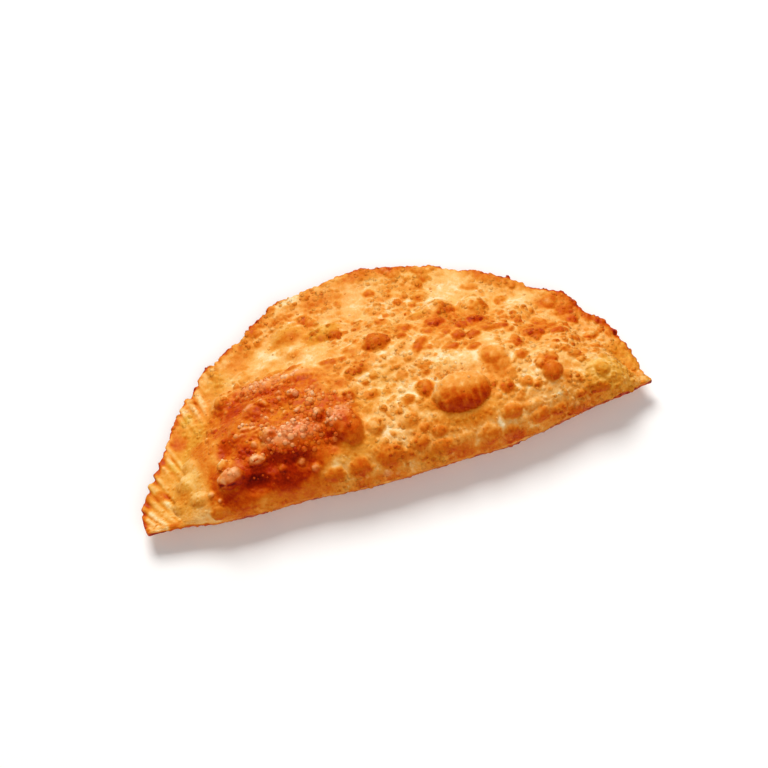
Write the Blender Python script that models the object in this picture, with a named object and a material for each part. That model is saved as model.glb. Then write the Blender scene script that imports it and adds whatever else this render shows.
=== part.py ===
"""Cheburek: a deep-fried half-moon turnover, made of one thin round sheet of dough.

The sheet is folded over its filling along a nearly straight fold, and its two edges are pressed
together along the curved side, which leaves a thin crimped and toothed rim. Frying puffs the
upper layer into a dome with blisters, and the lower layer into a shallower belly.

The body is built in millimetres around the chord between its two tips: X runs along the chord to
the right tip, Y from the fold to the crimped rim, and Z up from the middle of the pressed rim.
The finished mesh is in metres, with its origin under the middle of its box.
"""
import bmesh
import bpy
import numpy as np

# The outline seen from above, in millimetres.
HALF_LENGTH = 100.0       # from the middle of the chord to a tip
RIM_REACH = 90.0          # from the chord to the crimped rim, at the middle
RIM_EXPONENT = 1.765      # of the half superellipse that the rim follows: 2 would be an ellipse
FOLD_BULGE = 9.7          # from the chord to the folded side, at the middle
TIP_LENGTH = 4.0          # over which the waves and teeth of the rim fade out at a tip
# Where the rim stands out (+) or is dented (-): distance along the rim from the right tip,
# amount and half width.
RIM_WAVES = (
    (5.0, -1.8, 9.0),
    (32.0, 1.2, 7.0),
    (42.0, -0.8, 3.0),
    (53.0, 2.3, 6.0),
    (67.0, -1.5, 6.0),
    (101.0, -0.6, 6.0),
    (110.0, 0.9, 3.0),
    (138.0, 0.6, 4.0),
    (156.0, -0.7, 6.0),
    (176.0, 1.7, 6.0),
    (196.0, -1.2, 4.0),
    (217.0, 1.6, 4.0),
    (227.0, -0.6, 4.0),
    (255.0, -1.8, 10.0),
    (281.0, 3.8, 9.0),
)
# The same for the folded side, by X.
FOLD_WAVES = (
    (-78.0, 1.4, 10.0),
    (-40.0, -2.1, 16.0),
    (41.0, 1.6, 14.0),
    (76.0, -1.6, 11.0),
)

# Where the rim curls up (+) or droops (-): distance along it, amount and half width.
RIM_CURLS = (
    (20.0, -0.8, 12.0),
    (60.0, 1.2, 12.0),
    (105.0, -0.7, 18.0),
    (170.0, 1.0, 22.0),
    (218.0, -0.8, 14.0),
    (262.0, 1.0, 14.0),
)

# The section from the fold to the rim, in millimetres.
TOP_RISE = 13.5           # of the puffed upper layer above the rim's middle plane
BELLY_DROP = 6.5          # of the lower layer below it
FOLD_LIFT = 2.0           # of the fold's front above it
FOLD_ROUND_TOP = 0.36     # share of the body's depth over which the upper layer rises
FOLD_ROUND_BELLY = 0.15   # the same for the lower layer
TOP_CREST = 0.46          # share of the body's depth at which the upper layer starts to fall
BELLY_CREST = 0.55        # the same for the lower layer
FULLNESS_POWER = 0.75     # below 1, the body keeps its height further towards the tips
BLISTER_CREST = 0.78      # share of the body's depth at which blisters start to fade out
RIM_WIDTH = 9.0           # of the margin where both layers are pressed together
RIM_WIDEST_SHARE = 0.45   # of the section's length that the margin may take, near the tips
RIM_THICKNESS = 3.0
EDGE_START = 0.94         # share of the margin's width at which its outer edge starts to round
EDGE_THINNING = 0.55      # share of the thickness's square that is lost by there
FLAT_TIP_LEFT = 24.0      # section length, from fold to rim, at which the left end starts to puff
FLAT_TIP_RIGHT = 8.0      # the same at the right end
REST_FLAT = 0.7           # height of the belly that is flattened where it lies

# The teeth that the crimping leaves.
TOOTH_COUNT = 90
TOOTH_DEPTH = 0.9         # from the root of a tooth to its point
CRIMP_RELIEF = 0.45       # height of a crimp's ridge above the flat of the rim
CRIMP_UNDERSIDE = 0.5     # share of that height on the rim's underside

# The main blisters and swellings of the upper layer: X, Y, radius and height.
TOP_BLISTERS = (
    (29.0, 12.0, 12.0, 7.0),      # the largest bubble, right of the middle
    (-42.0, 22.0, 25.0, 2.5),     # the broad blistered patch on the left
    (-17.0, 13.0, 9.5, 3.5),
    (-36.0, 11.0, 12.0, 2.5),
    (-66.0, 8.0, 9.0, 3.5),
    (-61.0, 44.0, 9.0, 2.5),
    (84.0, 9.0, 12.0, 3.5),       # the smooth swelling at the right tip
    (63.0, 13.0, 8.0, 2.5),
    (45.0, 24.0, 8.0, 2.0),
    (34.0, 56.0, 8.0, 3.0),       # the pair of swellings near the rim
    (45.0, 55.0, 8.0, 3.5),
    (61.0, 47.0, 9.0, 3.0),
    (-29.0, 66.0, 9.0, 2.5),
    (-16.0, 58.0, 8.0, 2.5),
    (4.0, 49.0, 7.0, 2.0),
    (5.0, 6.0, 7.0, 1.5),
)
BELLY_BLISTERS = (
    (-52.0, 30.0, 14.0, 2.0),
    (48.0, 48.0, 13.0, 2.0),
    (-10.0, 66.0, 10.0, 1.5),
)

# The mesh: on the puffed body, one wide column of faces goes with several fine ones on the rim.
FINE_PER_WIDE = 3
TOP_ROWS = 36
BELLY_ROWS = 18
RIM_ROWS = 4
ROW_CROWDING = 1.25       # power that crowds the rows towards the rounded fold

OUTLINE_SAMPLES = 4001    # of the superellipse, before it is cut into even steps

MM = 0.001
CRUST_COLOUR = (0.78, 0.36, 0.07, 1.0)


def waves(position, table):
    """Sum of bell-shaped bumps: amount * exp(-((position - place) / half width) ** 2)."""
    total = np.zeros_like(position)
    for place, amount, half_width in table:
        total += amount * np.exp(-(((position - place) / half_width) ** 2))
    return total


def rim_outline(count, tooth_phase):
    """Points of the rim's edge, evenly spaced along it from the right tip to the left tip.

    The edge is half a superellipse, |x / a| ** n + |y / b| ** n = 1, moved along its own outward
    direction by the rim's waves and by teeth that point outward where cos(tooth_phase) is 1.
    """
    angle = np.linspace(0.0, np.pi, OUTLINE_SAMPLES)
    power = 2.0 / RIM_EXPONENT
    x = HALF_LENGTH * np.sign(np.cos(angle)) * np.abs(np.cos(angle)) ** power
    y = RIM_REACH * np.abs(np.sin(angle)) ** power
    along = np.concatenate(([0.0], np.cumsum(np.hypot(np.diff(x), np.diff(y)))))
    place = np.linspace(0.0, along[-1], count)
    x = np.interp(place, along, x)
    y = np.interp(place, along, y)
    slope_x = np.gradient(x, place)
    slope_y = np.gradient(y, place)
    tip_fade = np.clip(np.minimum(place, along[-1] - place) / TIP_LENGTH, 0.0, 1.0)
    move = waves(place, RIM_WAVES) - 0.5 * TOOTH_DEPTH * (1.0 - np.cos(tooth_phase))
    move *= tip_fade / np.hypot(slope_x, slope_y)
    return np.stack((x + slope_y * move, y - slope_x * move), axis=-1)


def fold_outline(count):
    """Points of the folded side, evenly spaced in X: a parabola with the fold's waves added."""
    x = np.linspace(HALF_LENGTH, -HALF_LENGTH, count)
    arch = 1.0 - (x / HALF_LENGTH) ** 2
    return np.stack((x, -arch * (FOLD_BULGE + waves(x, FOLD_WAVES))), axis=-1)


def blister_height(x, y, table):
    """Sum of smooth domes: height * (1 - (distance / radius) ** 2) ** 2 within each radius."""
    total = np.zeros_like(x)
    for centre_x, centre_y, radius, height in table:
        square = ((x - centre_x) ** 2 + (y - centre_y) ** 2) / radius ** 2
        total += height * np.clip(1.0 - square, 0.0, 1.0) ** 2
    return total


def quarter_ellipse(share):
    """Height of a quarter ellipse, 0 where the share is 0 and 1 where it is 1 or more."""
    return np.sqrt(1.0 - (1.0 - np.minimum(share, 1.0)) ** 2)


def cosine_fall(across, crest):
    """1 up to the crest, then a cosine squared that reaches 0 where across is 1."""
    return np.cos(0.5 * np.pi * np.clip((across - crest) / (1.0 - crest), 0.0, 1.0)) ** 2


def crust_heights(plan, length, across):
    """Top and bottom heights on the puffed body, at the fraction across from fold to margin.

    Each layer is a quarter ellipse at the fold, times a fall of cosine squared towards the margin,
    plus half the rim's thickness. Both fade out at the ends, where the section is short.
    """
    x = plan[:, 0]
    y = plan[:, 1]
    flat_tip = np.where(x < 0.0, FLAT_TIP_LEFT, FLAT_TIP_RIGHT)
    longest = RIM_REACH + FOLD_BULGE
    fullness = np.clip((length - flat_tip) / (longest - flat_tip), 0.0, 1.0)
    fullness = np.sin(0.5 * np.pi * fullness) ** FULLNESS_POWER
    rise = quarter_ellipse(across / FOLD_ROUND_TOP) * cosine_fall(across, TOP_CREST)
    blunt = quarter_ellipse(across / FOLD_ROUND_BELLY)
    drop = blunt * cosine_fall(across, BELLY_CREST)
    skin = 0.5 * RIM_THICKNESS * blunt
    lift = FOLD_LIFT * (1.0 - across) ** 2 * np.clip(length / (3.0 * RIM_WIDTH), 0.0, 1.0)
    blister_cover = quarter_ellipse(across / FOLD_ROUND_TOP) * cosine_fall(across, BLISTER_CREST)
    blisters = np.sqrt(fullness) * blister_cover * blister_height(x, y, TOP_BLISTERS)
    top = lift + skin + rise * TOP_RISE * fullness + blisters
    deepest = BELLY_DROP + FOLD_LIFT + blister_height(x, y, BELLY_BLISTERS)
    bottom = lift - skin - drop * fullness * deepest
    return top, bottom


def section_frames(count, tooth_phase):
    """What every section needs: its two ends, its length, the share inside the margin, its curl."""
    rim = rim_outline(count, tooth_phase)
    fold = fold_outline(count)
    length = np.maximum(np.linalg.norm(rim - fold, axis=-1), 1e-6)
    inner = 1.0 - np.minimum(RIM_WIDTH / length, RIM_WIDEST_SHARE)
    steps = np.linalg.norm(np.diff(rim_outline(count, np.zeros(count)), axis=0), axis=-1)
    along = np.concatenate(([0.0], np.cumsum(steps)))
    curl = waves(along, RIM_CURLS)
    return rim, fold, length, inner, curl


def body_rings(wide_count):
    """Rings of points on the puffed body, from the fold's front to the inner line of the rim.

    Returns the rings of the top and of the belly, each ring running from tip to tip.
    """
    rim, fold, length, inner, curl = section_frames(wide_count, np.zeros(wide_count))
    floor = REST_FLAT - BELLY_DROP - 0.5 * RIM_THICKNESS
    layers = []
    for rows, side in ((TOP_ROWS, 0), (BELLY_ROWS, 1)):
        rings = []
        for row in range(rows + 1):
            across = (row / rows) ** ROW_CROWDING
            share = inner * across
            plan = fold + (rim - fold) * share[:, None]
            height = crust_heights(plan, length, across)[side] + curl * share ** 2
            rings.append(np.column_stack((plan, np.maximum(height, floor))))
        layers.append(rings)
    return layers


def rim_rings(fine_count):
    """Rings of points on the pressed margin, from its inner line, over the edge and back below.

    Ridges run across the margin, one to a tooth, and grow from nothing at the inner line. The
    margin thins a little towards its rounded edge.
    """
    phase = np.linspace(0.0, 2.0 * np.pi * TOOTH_COUNT, fine_count)
    rim, fold, _, inner, curl = section_frames(fine_count, phase)
    ridge = CRIMP_RELIEF * np.cos(phase)
    top = []
    below = []
    for row in range(1, RIM_ROWS + 1):
        outward = row / RIM_ROWS
        share = inner + EDGE_START * (1.0 - inner) * outward
        plan = fold + (rim - fold) * share[:, None]
        half = 0.5 * RIM_THICKNESS * np.sqrt(1.0 - EDGE_THINNING * outward ** 4)
        middle = curl * share ** 2
        top.append(np.column_stack((plan, middle + half + ridge * outward)))
        below.append(np.column_stack((plan, middle - half + CRIMP_UNDERSIDE * ridge * outward)))
    edge = np.column_stack((rim, curl + 0.5 * (1.0 + CRIMP_UNDERSIDE) * ridge))
    return top + [edge] + below[::-1]


def add_ring(mesh, ring, tips):
    """Vertices of one ring; its two ends are the shared tip vertices."""
    middle = [mesh.verts.new(point) for point in ring[1:-1]]
    return [tips[0]] + middle + [tips[1]]


def add_face(mesh, corners):
    """One face from a loop of vertices, without the repeats that the tips cause."""
    unique = [v for i, v in enumerate(corners) if v is not corners[i - 1]]
    if len(unique) > 2:
        mesh.faces.new(unique)


def bridge_equal(mesh, first, second):
    """Quads between two rings with the same number of points."""
    for i in range(len(first) - 1):
        add_face(mesh, [first[i], second[i], second[i + 1], first[i + 1]])


def bridge_to_fine(mesh, wide, fine, flip):
    """Faces from one edge of a wide ring to FINE_PER_WIDE edges of a fine ring."""
    for i in range(len(wide) - 1):
        start = FINE_PER_WIDE * i
        corners = [wide[i]] + fine[start:start + FINE_PER_WIDE + 1] + [wide[i + 1]]
        add_face(mesh, corners[::-1] if flip else corners)


def build_cheburek():
    """The whole turnover as one closed mesh."""
    fine_edges = 2 * TOOTH_COUNT
    wide_count = fine_edges // FINE_PER_WIDE + 1
    top_layers, belly_layers = body_rings(wide_count)
    margin = rim_rings(fine_edges + 1)
    everything = np.concatenate(top_layers + belly_layers + margin)
    low = everything.min(axis=0)
    high = everything.max(axis=0)
    origin = np.array([0.5 * (low[0] + high[0]), 0.5 * (low[1] + high[1]), low[2]])

    def placed(ring):
        return (ring - origin) * MM

    mesh = bmesh.new()
    tip_points = placed(np.array([[HALF_LENGTH, 0.0, 0.0], [-HALF_LENGTH, 0.0, 0.0]]))
    tips = [mesh.verts.new(point) for point in tip_points]
    top = [add_ring(mesh, placed(ring), tips) for ring in top_layers]
    belly = [top[0]] + [add_ring(mesh, placed(ring), tips) for ring in belly_layers[1:]]
    rim = [add_ring(mesh, placed(ring), tips) for ring in margin]
    for first, second in zip(top[:-1], top[1:]):
        bridge_equal(mesh, second, first)
    for first, second in zip(belly[:-1], belly[1:]):
        bridge_equal(mesh, first, second)
    bridge_to_fine(mesh, top[-1], rim[0], flip=True)
    for first, second in zip(rim[:-1], rim[1:]):
        bridge_equal(mesh, second, first)
    bridge_to_fine(mesh, belly[-1], rim[-1], flip=False)
    bmesh.ops.triangulate(mesh, faces=mesh.faces[:])
    bmesh.ops.recalc_face_normals(mesh, faces=mesh.faces[:])
    return mesh


def crust_material():
    """Golden-orange fried dough with a little gloss from its oil."""
    material = bpy.data.materials.new("fried_crust")
    material.use_nodes = True
    shader = material.node_tree.nodes["Principled BSDF"]
    shader.inputs["Base Color"].default_value = CRUST_COLOUR
    shader.inputs["Roughness"].default_value = 0.42
    shader.inputs["Metallic"].default_value = 0.0
    return material


for leftover in list(bpy.data.objects):
    bpy.data.objects.remove(leftover, do_unlink=True)

crust_mesh = bpy.data.meshes.new("cheburek")
shell = build_cheburek()
shell.to_mesh(crust_mesh)
shell.free()
crust_mesh.materials.append(crust_material())
crust_mesh.shade_smooth()
cheburek = bpy.data.objects.new("cheburek", crust_mesh)
bpy.context.scene.collection.objects.link(cheburek)
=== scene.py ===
import itertools
import math

import bpy
import numpy as np
from mathutils import Matrix, Vector


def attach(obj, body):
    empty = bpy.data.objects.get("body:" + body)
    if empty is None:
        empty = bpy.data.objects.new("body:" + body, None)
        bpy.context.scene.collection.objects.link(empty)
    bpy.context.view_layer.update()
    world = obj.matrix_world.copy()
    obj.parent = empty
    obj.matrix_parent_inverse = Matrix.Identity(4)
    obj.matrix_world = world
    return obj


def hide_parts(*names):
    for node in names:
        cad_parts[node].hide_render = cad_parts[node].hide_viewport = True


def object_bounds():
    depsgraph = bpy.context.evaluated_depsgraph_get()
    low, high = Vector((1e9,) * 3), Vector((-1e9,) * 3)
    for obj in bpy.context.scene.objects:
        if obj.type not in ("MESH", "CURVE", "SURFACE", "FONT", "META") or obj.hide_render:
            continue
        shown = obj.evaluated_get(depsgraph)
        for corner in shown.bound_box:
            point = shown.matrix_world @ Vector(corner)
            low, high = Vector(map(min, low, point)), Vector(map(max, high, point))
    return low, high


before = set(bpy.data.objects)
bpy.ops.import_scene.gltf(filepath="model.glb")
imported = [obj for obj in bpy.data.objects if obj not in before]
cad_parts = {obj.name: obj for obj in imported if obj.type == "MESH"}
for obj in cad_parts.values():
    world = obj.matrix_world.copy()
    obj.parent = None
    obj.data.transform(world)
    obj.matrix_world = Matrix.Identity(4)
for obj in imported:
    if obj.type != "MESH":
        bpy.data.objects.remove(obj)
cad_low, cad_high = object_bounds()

# ------------------------------------------------------------
# The crust. One round sheet of thin dough is folded over its filling: the fold is the nearly
# straight front side, and the two layers are pressed together with a fork along the curved rim.
# In hot oil, steam lifts the upper layer into swellings and blisters, which brown the most.
# Lengths here are in millimetres, from the middle of the chord between the two tips.
MM = 0.001
HALF_LENGTH = 100.0
RIM_REACH = 90.0          # how far the rim stands behind the chord, and the fold before it
FOLD_BULGE = 9.7
RIM_EXPONENT = 1.765
INSET = 0.6               # how far the undisturbed sheet stays inside the solid's box
TIP_LENGTH = 4.0          # over which waves and teeth fade out towards a tip
LEFT_CORNER = 2.2         # how far the left tip is drawn out, and over what length
LEFT_CORNER_WIDTH = 6.0
RIM_WAVES = (             # along the rim from the right tip, outward amount, half width
    (5, -1.8, 9), (32, 1.2, 7), (42, -0.8, 3), (53, 2.3, 6), (67, -1.5, 6),
    (101, -0.6, 6), (110, 0.9, 3), (138, 0.6, 4), (156, -0.7, 6), (176, 1.7, 6),
    (196, -1.2, 4), (217, 1.6, 4), (227, -0.6, 4), (255, -1.8, 10), (281, 2.9, 9),
)
FOLD_WAVES = ((-78, 1.4, 10), (-40, -2.1, 16), (41, 1.6, 14), (76, -1.6, 11))
RIM_CURLS = (             # along the rim, how far it curls up, half width
    (20, -0.8, 12), (60, 1.2, 12), (105, -0.7, 18), (170, 1, 22), (218, -0.8, 14), (262, 1, 14),
)
TOP_RISE = 13.5
TOP_FRONT = 0.36          # share of a section in which the top rises from the fold
TOP_CREST = 0.46          # share at which it starts to fall towards the rim
BELLY_DROP = 6.5
BELLY_FRONT = 0.15
BELLY_CREST = 0.55
BELLY_SKIN = 1.5
BELLY_PRESSED = 0.7       # how much of the belly its own weight presses flat
FLOOR_LEVEL = BELLY_PRESSED - BELLY_DROP - BELLY_SKIN
FOLD_LIFT = 2.0           # of the fold, in sections as long as this at least
LIFTED_LENGTH = 27.0
RIM_WIDTH = 9.0
RIM_THICKNESS = 2.8
EDGE_START = 0.93         # share of the rim's width at which its rounded edge begins
FLAT_TIP_LEFT = 24.0      # sections shorter than this have no filling between them
FLAT_TIP_RIGHT = 8.0
FULLNESS_POWER = 0.75
TOOTH_COUNT = 90
TOOTH_DEPTH = 0.24        # and how much deeper the teeth are beyond the middle
DEEPER_TEETH = 0.06
WIDE_TEETH = 0.38         # how much wider the teeth are where the left end begins
WIDE_TEETH_FROM = 205.0
WIDE_TEETH_TO = 225.0
COLUMNS = 6 * TOOTH_COUNT
TOP_ROWS = 134
RIM_ROWS = 12
EDGE_ROWS = 5
BELLY_ROWS = 30


def bell(position, place, half_width, power=2):
    """exp(-((position - place) / half width)^power): 1 at the place and near 0 far from it."""
    return np.exp(-(((position - place) / half_width) ** power))


def waves(position, table):
    """Sum of bell-shaped bumps, each given as its place, amount and half width."""
    return sum(amount * bell(position, place, width) for place, amount, width in table)


def noise(points, size, seed):
    """Smooth random numbers from -1 to 1, for points in millimetres.

    Every corner of a cubic lattice of the given size has a random value. Inside a cell the eight
    corner values are blended with the weights 3 t^2 - 2 t^3 of the place in the cell.
    """
    lattice = np.random.default_rng(seed).uniform(-1.0, 1.0, (64, 64, 64))
    place = points / size
    cell = np.floor(place).astype(int)
    ease = place - cell
    ease = ease * ease * (3.0 - 2.0 * ease)
    total = np.zeros(points.shape[:-1])
    for corner in itertools.product((0, 1), repeat=3):
        weight = np.prod(np.where(np.array(corner) == 1, ease, 1.0 - ease), axis=-1)
        index = (cell + np.array(corner)) % 64
        total += weight * lattice[index[..., 0], index[..., 1], index[..., 2]]
    return total


def clouds(points, *layers):
    """Sum of noises, each given as its amount, size and seed."""
    return sum(amount * noise(points, size, seed) for amount, size, seed in layers)


def smooth_step(value, low, high):
    """0 below low, 1 above high, and 3 t^2 - 2 t^3 between them."""
    t = np.clip((value - low) / (high - low), 0.0, 1.0)
    return t * t * (3.0 - 2.0 * t)


def smooth_fall(value, low, high):
    """1 below low, 0 above high, and a smooth step between them."""
    return 1.0 - smooth_step(value, low, high)


def quarter_ellipse(share):
    """Height of a quarter ellipse: sqrt(1 - (1 - share)^2), and 1 where the share is over 1."""
    return np.sqrt(1.0 - (1.0 - np.clip(share, 0.0, 1.0)) ** 2)


def cosine_fall(across, crest):
    """1 up to the crest, then a cosine squared that reaches 0 where across is 1."""
    return np.cos(0.5 * np.pi * np.clip((across - crest) / (1.0 - crest), 0.0, 1.0)) ** 2


def sheet_outline():
    """The rim and the fold as matching rows of points from the right tip to the left tip.

    The rim is half a superellipse |x / a|^n + |y / b|^n = 1 walked in even steps and moved outward
    by its waves. The fold is a parabola with its own waves. Also gives the distances walked, the
    unit directions out of the rim, and shares that fall to 0 at the tips.
    """
    angle = np.linspace(0.0, np.pi, 4001)
    power = 2.0 / RIM_EXPONENT
    x = HALF_LENGTH * np.sign(np.cos(angle)) * np.abs(np.cos(angle)) ** power
    y = (RIM_REACH - INSET) * np.abs(np.sin(angle)) ** power
    along = np.concatenate(([0.0], np.cumsum(np.hypot(np.diff(x), np.diff(y)))))
    place = np.linspace(0.0, along[-1], COLUMNS + 1)
    x = np.interp(place, along, x)
    y = np.interp(place, along, y)
    slope_x = np.gradient(x, place)
    slope_y = np.gradient(y, place)
    fade = np.clip(np.minimum(place, along[-1] - place) / TIP_LENGTH, 0.0, 1.0)
    out = np.stack((slope_y, -slope_x), axis=-1) / np.hypot(slope_x, slope_y)[:, None]
    rim = np.stack((x, y), axis=-1) + out * (waves(place, RIM_WAVES) * fade)[:, None]
    rim[:, 0] -= LEFT_CORNER * bell(place, along[-1], LEFT_CORNER_WIDTH)
    fold_x = np.linspace(HALF_LENGTH, -HALF_LENGTH, COLUMNS + 1)
    arch = 1.0 - (fold_x / HALF_LENGTH) ** 2
    fold_y = -arch * (FOLD_BULGE - INSET + waves(fold_x, FOLD_WAVES))
    fold_x = fold_x - LEFT_CORNER * bell(fold_x, -HALF_LENGTH, LEFT_CORNER_WIDTH)
    return rim, np.stack((fold_x, fold_y), axis=-1), place, out, fade


def even_rows(count, round_share, rise, depth, gathered=1.0):
    """Shares across one layer, evenly spaced along its curved section, or gathered at the fold."""
    across = np.linspace(0.0, 1.0, 2001) ** 2
    height = rise * quarter_ellipse(across / round_share)
    steps = np.hypot(np.diff(across) * depth, np.diff(height))
    walked = np.concatenate(([0.0], np.cumsum(steps)))
    return np.interp(walked[-1] * np.linspace(0.0, 1.0, count + 1) ** gathered, walked, across)


def rim_noise(size, seed):
    """Noise along the rim, one number for each column of the sheet."""
    return noise(rim_place[:, None] * np.ones(3), size, seed)


rim, fold, rim_place, rim_out, rim_fade = sheet_outline()
wide_teeth = WIDE_TEETH * smooth_step(rim_place, WIDE_TEETH_FROM, WIDE_TEETH_TO)
tooth_spacing = rim_place[-1] / TOOTH_COUNT * (1.0 + wide_teeth)
tooth_phase = 2.0 * np.pi * np.cumsum(np.gradient(rim_place) / tooth_spacing)
tooth_phase = tooth_phase + 2.0 * rim_noise(8.0, 10)
tooth_depth = TOOTH_DEPTH + DEEPER_TEETH * smooth_step(rim_place, 130.0, 190.0)
tooth_depth = tooth_depth * (1.0 + 0.9 * rim_noise(2.3, 11)) * rim_fade
tooth_move = 0.5 * np.cos(tooth_phase) - 0.5 + rim_noise(3.4, 12) + 0.9 * rim_noise(1.2, 13)
tooth_move = rim_out * (tooth_depth * tooth_move)[:, None]
section_length = np.maximum(np.linalg.norm(rim - fold, axis=-1), 1e-6)
inner_share = 1.0 - np.minimum(RIM_WIDTH / section_length, 0.45)
curl = waves(rim_place, RIM_CURLS)
flat_tip = np.where(fold[:, 0] < 0.0, FLAT_TIP_LEFT, FLAT_TIP_RIGHT)
longest = RIM_REACH + FOLD_BULGE
fullness = np.clip((section_length - flat_tip) / (longest - flat_tip), 0.0, 1.0)
fullness = np.sin(0.5 * np.pi * fullness) ** FULLNESS_POWER


def body_row(across, upper):
    """One row of the puffed body: a quarter ellipse at the fold times a cosine fall to the rim."""
    share = inner_share * across
    plan = fold + (rim - fold) * share[:, None]
    blunt = quarter_ellipse(across / BELLY_FRONT)
    skin = 0.5 * RIM_THICKNESS * blunt
    lift = FOLD_LIFT * (1.0 - across) ** 2 * np.clip(section_length / LIFTED_LENGTH, 0.0, 1.0)
    lift = lift + curl * share ** 2
    if upper:
        rise = quarter_ellipse(across / TOP_FRONT) * cosine_fall(across, TOP_CREST)
        height = lift + skin + rise * TOP_RISE * fullness
    else:
        drop = blunt * cosine_fall(across, BELLY_CREST)
        height = lift - skin - drop * fullness * (BELLY_DROP + FOLD_LIFT)
    return np.column_stack((plan, height))


def margin_row(outward, moved, half_thickness):
    """One row of the pressed margin, at a share of its width and a height from its middle."""
    share = inner_share + (1.0 - inner_share) * outward
    plan = fold + (rim - fold) * share[:, None] + tooth_move * moved
    return np.column_stack((plan, curl * share ** 2 + half_thickness))


def rim_row(outward, side):
    """A row of the margin's top (side 1) or underside (side -1), thinner towards the edge."""
    half = 0.5 * RIM_THICKNESS * math.sqrt(1.0 - 0.5 * outward ** 4)
    return margin_row(EDGE_START * outward, outward ** 2, side * half)


def edge_row(turn):
    """A row over the rim's rounded edge; turn goes from 0 on the top to pi on the underside."""
    half = 0.5 * RIM_THICKNESS * math.sqrt(0.5) * math.cos(turn)
    return margin_row(EDGE_START + (1.0 - EDGE_START) * math.sin(turn), 1.0, half)


top_across = even_rows(TOP_ROWS, TOP_FRONT, TOP_RISE, longest - RIM_WIDTH)
belly_across = even_rows(BELLY_ROWS, BELLY_FRONT, BELLY_DROP, longest - RIM_WIDTH, 1.5)
rows = [body_row(across, True) for across in top_across]
rows += [rim_row((i + 1) / RIM_ROWS, 1.0) for i in range(RIM_ROWS)]
rows += [edge_row(math.pi * (i + 1) / (EDGE_ROWS + 1)) for i in range(EDGE_ROWS)]
rows += [rim_row(outward, -1.0) for outward in (1.0, 0.7, 0.35)]
rows += [body_row(across, False) for across in belly_across[:0:-1]]
sheet = np.stack(rows, axis=1)
top_row_count = TOP_ROWS + 1 + RIM_ROWS + EDGE_ROWS // 2
is_top = np.arange(sheet.shape[1]) < top_row_count
from_edge = section_length[:, None] - np.linalg.norm(sheet[..., :2] - fold[:, None], axis=-1)


def outwards(grid):
    """Unit normals of the closed grid: the cross product of its steps along and around it."""
    along = np.gradient(grid, axis=0)
    around = np.roll(grid, -1, axis=1) - np.roll(grid, 1, axis=1)
    normal = np.cross(around, along)
    size = np.linalg.norm(normal, axis=-1, keepdims=True)
    return normal / np.maximum(size, 1e-9)


def raised(grid, amount):
    """The grid with each of its points moved outwards by its amount."""
    return grid + outwards(grid) * amount[..., None]


def paint(layer, mask, value):
    """The layer moved towards the value by the mask."""
    return layer + (value - layer) * np.clip(mask, 0.0, 1.0)


def reach(grid, x, y, length, width, turn=0.0, draped=0.0):
    """Distance from a centre on the upper side as a share of the radii, turned in degrees.

    A draped one follows the slope of the crust, so that its height difference counts for less.
    """
    top = grid[:, is_top].reshape(-1, 3)
    nearest = np.argmin((top[:, 0] - x) ** 2 + (top[:, 1] - y) ** 2)
    offset = grid - top[nearest]
    cos_turn = math.cos(math.radians(turn))
    sin_turn = math.sin(math.radians(turn))
    lengthways = offset[..., 0] * cos_turn + offset[..., 1] * sin_turn
    sideways = offset[..., 1] * cos_turn - offset[..., 0] * sin_turn
    upright = (1.0 - draped) * offset[..., 2] / min(length, width)
    return np.sqrt((lengthways / length) ** 2 + (sideways / width) ** 2 + upright ** 2)


def hump(far):
    """1 - far^2 inside the edge, and 0 outside it."""
    return np.clip(1.0 - far ** 2, 0.0, 1.0)


# Broad swellings and hollows of the upper layer. Each row of a table of places begins with X, Y,
# length and width and ends with its turn from the fold's line in degrees, if it has one. Between
# them these rows give the height.
SWELLINGS = (
    (-43, 18, 34, 26, 2), (-40, 12, 13, 8.5, 1.9, 5), (-19, 12, 7.5, 11, 1.9, 15),
    (-65, 6, 9, 8, 1.5), (-62, 44, 6, 6, 1.2), (-48, 31, 9, 7, 1.6, -20), (-29, 67, 8, 7, 1.8),
    (-12, 61, 8, 6.5, 1.8), (3, 46, 7, 6, 1.2), (31, 57, 7, 9, 2.4, -20), (44, 54, 7, 8, 2.8, -10),
    (60, 47, 9, 8, 1.8), (30, 25, 12, 6, 1.2, -10), (44, 22, 8, 7, 0.9, -30),
    (63, 12, 7, 8, 1.4, -30), (83, 5, 13, 10, 2.2, -20), (-56.5, 0.5, 7, 4.5, -1.2),
    (-64.5, 17.5, 5.5, 5.5, -1.2), (-42, 27, 8, 5, -1.2), (-48.5, 6, 5, 4.5, -0.9),
    (-36, 4, 5.5, 4.5, -0.9), (-25, 6, 4.5, 4.5, -0.9), (-57, 34, 7, 5, -0.9),
    (-46, 43.5, 16, 5, 1.2, -12), (-31, 41, 9, 4.5, 1, -20), (-33, 52, 12, 5, -0.9, -15),
    (60, 25, 12, 8, -0.8), (0, 22, 9, 10, -0.7), (-83, 13, 6, 5, 1.1, -35), (-79, 4, 5, 3.2, 1, -10),
    (-88, 5, 4, 3, 0.7, -30), (-80, 21, 4, 5, 0.7, 20),
)
SWELLING_RISE = 1.3
CALM_TIP = 12.0           # sections shorter than this have less relief
upper_side = is_top[None, :] * smooth_step(outwards(sheet)[..., 2], -0.7, -0.2)
flat_rim = smooth_step(from_edge, 2.0, RIM_WIDTH + 3.0)
tip_fade = np.clip(section_length / CALM_TIP, 0.0, 1.0)[:, None]
swell = clouds(sheet, (0.5, 16.0, 1), (0.35, 7.0, 2))
for x, y, length, width, height, *turn in SWELLINGS:
    swell += SWELLING_RISE * height * hump(reach(sheet, x, y, length, width, *turn)) ** 1.5
crust = raised(sheet, swell * upper_side * flat_rim * tip_fade)

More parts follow.
